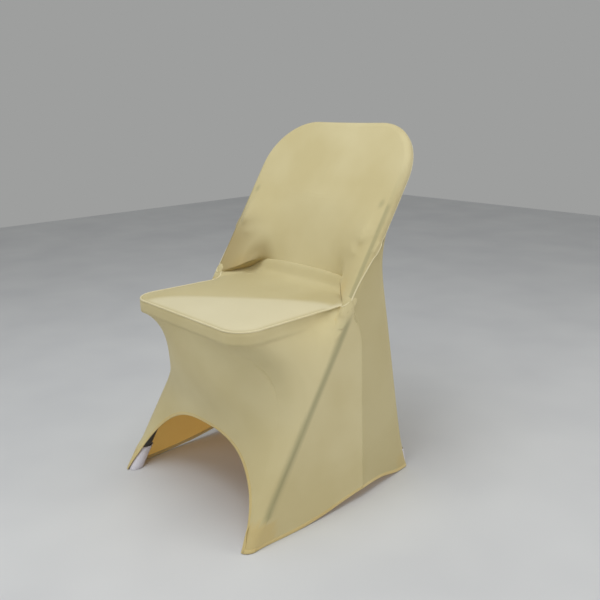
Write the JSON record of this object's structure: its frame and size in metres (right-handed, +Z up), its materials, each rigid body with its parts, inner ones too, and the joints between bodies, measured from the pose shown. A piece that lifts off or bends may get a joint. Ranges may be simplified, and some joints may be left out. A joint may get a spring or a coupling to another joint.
{
  "type": "folding chair",
  "caption": "Steel folding chair in a stretch-fabric cover: leaning U-shaped main frame, padded seat, rear legs that slide in slots, arched skirt held by foot pockets.",
  "frame": {"origin": "on the floor, under the middle of the bounding box", "axes": "+Z up; the chair faces -Y; +X is the right-hand side of someone looking at its front"},
  "size_m": [0.4854, 0.5383, 0.7896],
  "materials": {
    "enamelled_steel": "satin grey enamel on steel tube and sheet",
    "zinc_steel": "zinc-plated steel",
    "grey_rubber": "moulded rubber",
    "nylon": "natural nylon",
    "plywood": "sanded plywood",
    "vinyl_pad": "dark vinyl over foam",
    "stretch_fabric": "champagne knitted stretch fabric, soft satin sheen",
    "white_lining": "white woven lining, doubled"
  },
  "bodies": {
    "frame": {"main_frame": "enamelled_steel", "back_plate": "enamelled_steel", "front_brace": "enamelled_steel", "seat_pivot_bolt_left": "zinc_steel", "seat_pivot_bolt_right": "zinc_steel", "seat_pivot_spacer_left": "zinc_steel", "seat_pivot_spacer_right": "zinc_steel", "seat_pivot_nut_left": "zinc_steel", "seat_pivot_nut_right": "zinc_steel", "leg_pivot_bolt_left": "zinc_steel", "leg_pivot_bolt_right": "zinc_steel", "leg_pivot_washer_left": "zinc_steel", "leg_pivot_washer_right": "zinc_steel", "leg_pivot_nut_left": "zinc_steel", "leg_pivot_nut_right": "zinc_steel", "front_foot_cap_left": "grey_rubber", "front_foot_cap_right": "grey_rubber", "front_foot_pocket_left": "white_lining", "front_foot_pocket_right": "white_lining", "back_sleeve": "stretch_fabric", "lumbar_panel": "stretch_fabric", "skirt_front": "stretch_fabric"},
    "seat": {"seat_board": "plywood", "seat_pad": "vinyl_pad", "seat_cover": "stretch_fabric", "seat_piping": "stretch_fabric", "side_plate_left": "zinc_steel", "side_plate_right": "zinc_steel", "seat_screw_left_1": "zinc_steel", "seat_screw_left_2": "zinc_steel", "seat_screw_left_3": "zinc_steel", "seat_screw_right_1": "zinc_steel", "seat_screw_right_2": "zinc_steel", "seat_screw_right_3": "zinc_steel"},
    "rear_legs": {"rear_brace": "enamelled_steel", "rear_leg_left": "enamelled_steel", "rear_leg_right": "enamelled_steel", "leg_top_plug_left": "nylon", "leg_top_plug_right": "nylon", "slide_stud_left": "zinc_steel", "slide_stud_right": "zinc_steel", "slide_roller_left": "nylon", "slide_roller_right": "nylon", "rear_foot_cap_left": "grey_rubber", "rear_foot_cap_right": "grey_rubber", "rear_foot_pocket_left": "white_lining", "rear_foot_pocket_right": "white_lining", "skirt_rear": "stretch_fabric"}
  },
  "joints": [
    {"name": "seat_fold", "type": "hinge", "parent": "frame", "child": "seat", "pos_m": [0, -0.0026, 0.388], "axis": [1, 0, 0], "range_deg": [0, 57.2], "deforming": ["lumbar_panel", "skirt_front"]},
    {"name": "leg_fold", "type": "hinge", "parent": "frame", "child": "rear_legs", "pos_m": [0, 0.09811, 0.545], "axis": [1, 0, 0], "range_deg": [-38.4, 0], "deforming": ["skirt_rear"]}
  ],
  "couplings": [
    {"joint": "leg_fold", "follows": "seat_fold", "ratio": -0.66958}
  ]
}
